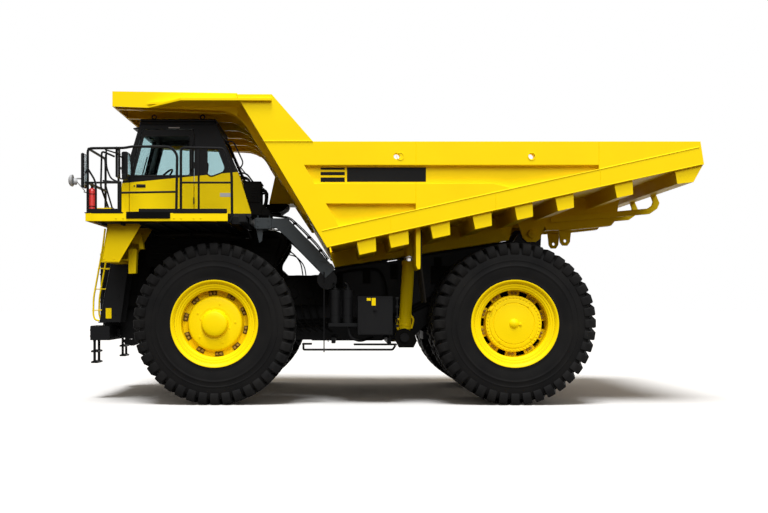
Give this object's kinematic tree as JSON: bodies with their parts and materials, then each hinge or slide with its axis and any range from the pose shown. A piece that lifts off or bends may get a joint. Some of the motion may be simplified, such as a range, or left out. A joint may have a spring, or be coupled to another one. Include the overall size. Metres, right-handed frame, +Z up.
{
  "type": "mining dump truck",
  "caption": "Rigid two-axle haul truck with a tipping rock body, a canopy over its offset cab, steered front wheels and twin rear wheels.",
  "frame": {"origin": "on the ground under the middle of the truck", "axes": "+X to the front of the truck, +Y to its left, +Z up"},
  "size_m": [10.302, 5.94, 5.18],
  "materials": {
    "yellow_paint": "gloss",
    "black_paint": "satin",
    "slate_paint": "satin",
    "tyre": "matt",
    "rod_chrome": "polished",
    "glass": "clear",
    "seat_cloth": "woven",
    "dash_plastic": "grained"
  },
  "bodies": {
    "root": {"wishbone_left": "black_paint", "wishbone_right": "black_paint", "front_strut_left": "black_paint", "front_strut_right": "black_paint", "main_frame": "black_paint", "front_bumper": "black_paint", "radiator": "black_paint", "engine_block": "black_paint", "transmission": "black_paint", "rear_axle_housing": "black_paint", "deck": "yellow_paint", "lamp_panel_left": "yellow_paint", "lamp_panel_right": "yellow_paint", "ladder_left": "yellow_paint", "ladder_right": "yellow_paint", "railing_left": "black_paint", "railing_right": "black_paint", "deck_brace": "slate_paint", "deck_cabinet": "yellow_paint", "air_cleaner": "black_paint", "fuel_tank": "black_paint", "hydraulic_tank": "black_paint", "cab_floor": "yellow_paint", "cab_left_wall": "yellow_paint", "cab_right_wall": "yellow_paint", "cab_front_wall": "yellow_paint", "cab_rear_wall": "yellow_paint", "cab_roof": "black_paint", "windscreen": "glass", "rear_window": "glass", "quarter_window": "glass", "right_window": "glass", "seat": "seat_cloth", "dashboard": "dash_plastic"},
    "knuckle_left": {"knuckle_left": "black_paint"},
    "knuckle_right": {"knuckle_right": "black_paint"},
    "tie_rod": {"tie_rod": "black_paint"},
    "front_wheel_left": {"front_rim_left": "yellow_paint", "front_tyre_left": "tyre"},
    "front_wheel_right": {"front_rim_right": "yellow_paint", "front_tyre_right": "tyre"},
    "rear_wheel_left": {"rear_rim_left": "yellow_paint", "rear_outer_tyre_left": "tyre", "rear_inner_tyre_left": "tyre"},
    "rear_wheel_right": {"rear_rim_right": "yellow_paint", "rear_outer_tyre_right": "tyre", "rear_inner_tyre_right": "tyre"},
    "dump_body": {"body_floor": "yellow_paint", "body_side_left": "yellow_paint", "body_side_right": "yellow_paint", "body_front": "yellow_paint", "canopy": "yellow_paint"},
    "hoist_barrel_left": {"hoist_barrel_left": "yellow_paint"},
    "hoist_barrel_right": {"hoist_barrel_right": "yellow_paint"},
    "hoist_stage_left": {"hoist_stage_left": "rod_chrome"},
    "hoist_stage_right": {"hoist_stage_right": "rod_chrome"},
    "hoist_rod_left": {"hoist_rod_left": "rod_chrome"},
    "hoist_rod_right": {"hoist_rod_right": "rod_chrome"},
    "cab_door": {"cab_door": "yellow_paint", "door_window": "glass"}
  },
  "joints": [
    {"name": "steer_left", "type": "hinge", "parent": "root", "child": "knuckle_left", "pos_m": [2.83, 1.48, 1.33852], "axis": [0, 0, 1], "range_deg": [-39, 39]},
    {"name": "steer_right", "type": "hinge", "parent": "root", "child": "knuckle_right", "pos_m": [2.83, -1.48, 1.33852], "axis": [0, 0, 1], "range_deg": [-39, 39]},
    {"name": "tie_rod_pivot", "type": "hinge", "parent": "knuckle_left", "child": "tie_rod", "pos_m": [2.27, 1.24, 0.9], "axis": [0, 0, 1], "range_deg": [-39, 39]},
    {"name": "front_wheel_left_spin", "type": "hinge", "parent": "knuckle_left", "child": "front_wheel_left", "pos_m": [2.83, 2.162, 1.33852], "axis": [0, 1, 0], "continuous": true},
    {"name": "front_wheel_right_spin", "type": "hinge", "parent": "knuckle_right", "child": "front_wheel_right", "pos_m": [2.83, -2.162, 1.33852], "axis": [0, 1, 0], "continuous": true},
    {"name": "rear_wheel_left_spin", "type": "hinge", "parent": "root", "child": "rear_wheel_left", "pos_m": [-2.12, 2.185, 1.33852], "axis": [0, 1, 0], "continuous": true},
    {"name": "rear_wheel_right_spin", "type": "hinge", "parent": "root", "child": "rear_wheel_right", "pos_m": [-2.12, -2.185, 1.33852], "axis": [0, 1, 0], "continuous": true},
    {"name": "dump_body_hinge", "type": "hinge", "parent": "root", "child": "dump_body", "pos_m": [-2.73, 0, 2.94], "axis": [0, -1, 0], "range_deg": [0, 48]},
    {"name": "hoist_barrel_left_tilt", "type": "hinge", "parent": "root", "child": "hoist_barrel_left", "pos_m": [-0.37, 1.25, 1.075], "axis": [0, -1, 0], "range_deg": [0, 8.39]},
    {"name": "hoist_stage_left_slide", "type": "slide", "parent": "hoist_barrel_left", "child": "hoist_stage_left", "axis": [-0.0592, 0, 0.9982], "range_m": [0, 0.9054]},
    {"name": "hoist_rod_left_slide", "type": "slide", "parent": "hoist_stage_left", "child": "hoist_rod_left", "axis": [-0.0592, 0, 0.9982], "range_m": [0, 0.9054]},
    {"name": "hoist_barrel_right_tilt", "type": "hinge", "parent": "root", "child": "hoist_barrel_right", "pos_m": [-0.37, -1.25, 1.075], "axis": [0, -1, 0], "range_deg": [0, 8.39]},
    {"name": "hoist_stage_right_slide", "type": "slide", "parent": "hoist_barrel_right", "child": "hoist_stage_right", "axis": [-0.0592, 0, 0.9982], "range_m": [0, 0.9054]},
    {"name": "hoist_rod_right_slide", "type": "slide", "parent": "hoist_stage_right", "child": "hoist_rod_right", "axis": [-0.0592, 0, 0.9982], "range_m": [0, 0.9054]},
    {"name": "cab_door_hinge", "type": "hinge", "parent": "root", "child": "cab_door", "pos_m": [3.24, 1.955, 3.93], "axis": [0, 0, 1], "range_deg": [0, 40]}
  ],
  "couplings": [
    {"joint": "steer_right", "follows": "steer_left", "ratio": 1},
    {"joint": "tie_rod_pivot", "follows": "steer_left", "ratio": -1},
    {"joint": "hoist_stage_left_slide", "follows": "dump_body_hinge", "m_per_rad": 1.0801},
    {"joint": "hoist_rod_left_slide", "follows": "dump_body_hinge", "m_per_rad": 1.0801},
    {"joint": "hoist_barrel_left_tilt", "follows": "dump_body_hinge", "ratio": 0.17463},
    {"joint": "hoist_stage_right_slide", "follows": "dump_body_hinge", "m_per_rad": 1.0801},
    {"joint": "hoist_rod_right_slide", "follows": "dump_body_hinge", "m_per_rad": 1.0801},
    {"joint": "hoist_barrel_right_tilt", "follows": "dump_body_hinge", "ratio": 0.17463}
  ]
}
